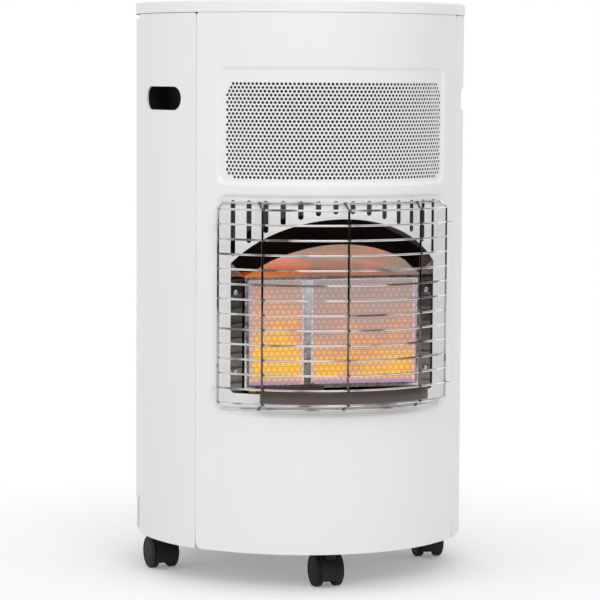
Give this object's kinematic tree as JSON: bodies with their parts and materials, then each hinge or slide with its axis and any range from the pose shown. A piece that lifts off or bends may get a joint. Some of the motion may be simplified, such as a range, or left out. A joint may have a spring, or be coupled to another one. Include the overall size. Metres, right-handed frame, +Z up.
{
  "type": "portable gas cabinet heater",
  "caption": "Mobile gas cabinet heater: curved white sheet-steel body, arched burner opening behind a wire guard, perforated vent, side hand slots and castors.",
  "frame": {"origin": "on the floor under the middle of the heater", "axes": "+Z up, -Y out of the fire opening, +X to the right of someone who faces the fire"},
  "size_m": [0.439, 0.4628, 0.757],
  "materials": {
    "white_paint": "smooth white powder coat",
    "galvanised_steel": "plain galvanised sheet",
    "polished_steel": "mirror-polished sheet, heat tinted",
    "chrome_wire": "bright chrome plate",
    "glowing_ceramic": "perforated ceramic, glowing orange",
    "dark_steel": "dark brown heat-resistant finish",
    "black_plastic": "fine-grained black moulding",
    "castor_rubber": "dark grey moulded tyre and disc",
    "brass": "turned and formed brass",
    "porcelain": "glazed insulator",
    "bright_steel": "bright steel",
    "red_plastic": "glossy red push button"
  },
  "bodies": {
    "cabinet": {"front_shell": "white_paint", "right_side_panel": "white_paint", "left_side_panel": "white_paint", "top_lid": "white_paint", "base_tray": "galvanised_steel", "burner_housing": "galvanised_steel", "reflector_hood": "polished_steel", "right_side_reflector": "polished_steel", "left_side_reflector": "polished_steel", "right_corner_reflector": "polished_steel", "left_corner_reflector": "polished_steel", "reflector_tray": "polished_steel", "wire_guard": "chrome_wire", "ceramic_plaque_1": "glowing_ceramic", "ceramic_plaque_2": "glowing_ceramic", "ceramic_plaque_3": "glowing_ceramic", "deflector_bar": "dark_steel", "heat_shield": "dark_steel", "right_grip_cup": "black_plastic", "left_grip_cup": "black_plastic", "control_panel": "black_plastic", "piezo_igniter": "black_plastic", "gas_valve": "brass", "supply_pipe": "brass", "pilot_pipe": "brass", "spark_electrode": "porcelain", "burner_frame": "bright_steel", "pilot_burner": "bright_steel", "thermocouple": "bright_steel", "left_reflector_screw_1": "bright_steel", "left_reflector_screw_2": "bright_steel", "right_reflector_screw_1": "bright_steel", "right_reflector_screw_2": "bright_steel"},
    "rear_cover": {"rear_cover": "white_paint"},
    "valve_stem": {"valve_stem": "brass"},
    "control_knob": {"control_knob": "black_plastic"},
    "ignition_button": {"ignition_button": "red_plastic"},
    "front_castor": {"front_castor_hood": "black_plastic", "front_castor_axle": "bright_steel"},
    "front_castor_left_wheel": {"front_castor_left_wheel": "castor_rubber"},
    "front_castor_right_wheel": {"front_castor_right_wheel": "castor_rubber"},
    "left_castor": {"left_castor_hood": "black_plastic", "left_castor_axle": "bright_steel"},
    "left_castor_left_wheel": {"left_castor_left_wheel": "castor_rubber"},
    "left_castor_right_wheel": {"left_castor_right_wheel": "castor_rubber"},
    "right_castor": {"right_castor_hood": "black_plastic", "right_castor_axle": "bright_steel"},
    "right_castor_left_wheel": {"right_castor_left_wheel": "castor_rubber"},
    "right_castor_right_wheel": {"right_castor_right_wheel": "castor_rubber"},
    "rear_castor": {"rear_castor_hood": "black_plastic", "rear_castor_axle": "bright_steel"},
    "rear_castor_left_wheel": {"rear_castor_left_wheel": "castor_rubber"},
    "rear_castor_right_wheel": {"rear_castor_right_wheel": "castor_rubber"}
  },
  "joints": [
    {"name": "rear_cover_removal", "type": "slide", "parent": "cabinet", "child": "rear_cover", "axis": [0, 1, 0], "range_m": [0, 0.35]},
    {"name": "knob_press", "type": "slide", "parent": "cabinet", "child": "valve_stem", "axis": [0, 0, -1], "range_m": [0, 0.006], "stiffness_N_per_m": 900, "springref_m": -0.003},
    {"name": "knob_turn", "type": "hinge", "parent": "valve_stem", "child": "control_knob", "pos_m": [-0.038, 0.165, 0.74], "axis": [0, 0, 1], "range_deg": [0, 200]},
    {"name": "ignition_press", "type": "slide", "parent": "cabinet", "child": "ignition_button", "axis": [0, 0, -1], "range_m": [0, 0.005], "stiffness_N_per_m": 700, "springref_m": -0.003},
    {"name": "front_castor_swivel", "type": "hinge", "parent": "cabinet", "child": "front_castor", "pos_m": [-0.008, -0.177, 0.05], "axis": [0, 0, 1], "continuous": true},
    {"name": "front_castor_left_wheel_roll", "type": "hinge", "parent": "front_castor", "child": "front_castor_left_wheel", "pos_m": [-0.00931, -0.16206, 0.022], "axis": [0.9962, 0.0872, 0], "continuous": true},
    {"name": "front_castor_right_wheel_roll", "type": "hinge", "parent": "front_castor", "child": "front_castor_right_wheel", "pos_m": [-0.00931, -0.16206, 0.022], "axis": [0.9962, 0.0872, 0], "continuous": true},
    {"name": "left_castor_swivel", "type": "hinge", "parent": "cabinet", "child": "left_castor", "pos_m": [-0.1865, 0.006, 0.05], "axis": [0, 0, 1], "continuous": true},
    {"name": "left_castor_left_wheel_roll", "type": "hinge", "parent": "left_castor", "child": "left_castor_left_wheel", "pos_m": [-0.1891, 0.02077, 0.022], "axis": [0.9848, 0.1736, 0], "continuous": true},
    {"name": "left_castor_right_wheel_roll", "type": "hinge", "parent": "left_castor", "child": "left_castor_right_wheel", "pos_m": [-0.1891, 0.02077, 0.022], "axis": [0.9848, 0.1736, 0], "continuous": true},
    {"name": "right_castor_swivel", "type": "hinge", "parent": "cabinet", "child": "right_castor", "pos_m": [0.1865, 0.006, 0.05], "axis": [0, 0, 1], "continuous": true},
    {"name": "right_castor_left_wheel_roll", "type": "hinge", "parent": "right_castor", "child": "right_castor_left_wheel", "pos_m": [0.1865, 0.021, 0.022], "axis": [1, 0, 0], "continuous": true},
    {"name": "right_castor_right_wheel_roll", "type": "hinge", "parent": "right_castor", "child": "right_castor_right_wheel", "pos_m": [0.1865, 0.021, 0.022], "axis": [1, 0, 0], "continuous": true},
    {"name": "rear_castor_swivel", "type": "hinge", "parent": "cabinet", "child": "rear_castor", "pos_m": [0, 0.182, 0.05], "axis": [0, 0, 1], "continuous": true},
    {"name": "rear_castor_left_wheel_roll", "type": "hinge", "parent": "rear_castor", "child": "rear_castor_left_wheel", "pos_m": [-0.00131, 0.19694, 0.022], "axis": [0.9962, 0.0872, 0], "continuous": true},
    {"name": "rear_castor_right_wheel_roll", "type": "hinge", "parent": "rear_castor", "child": "rear_castor_right_wheel", "pos_m": [-0.00131, 0.19694, 0.022], "axis": [0.9962, 0.0872, 0], "continuous": true}
  ]
}
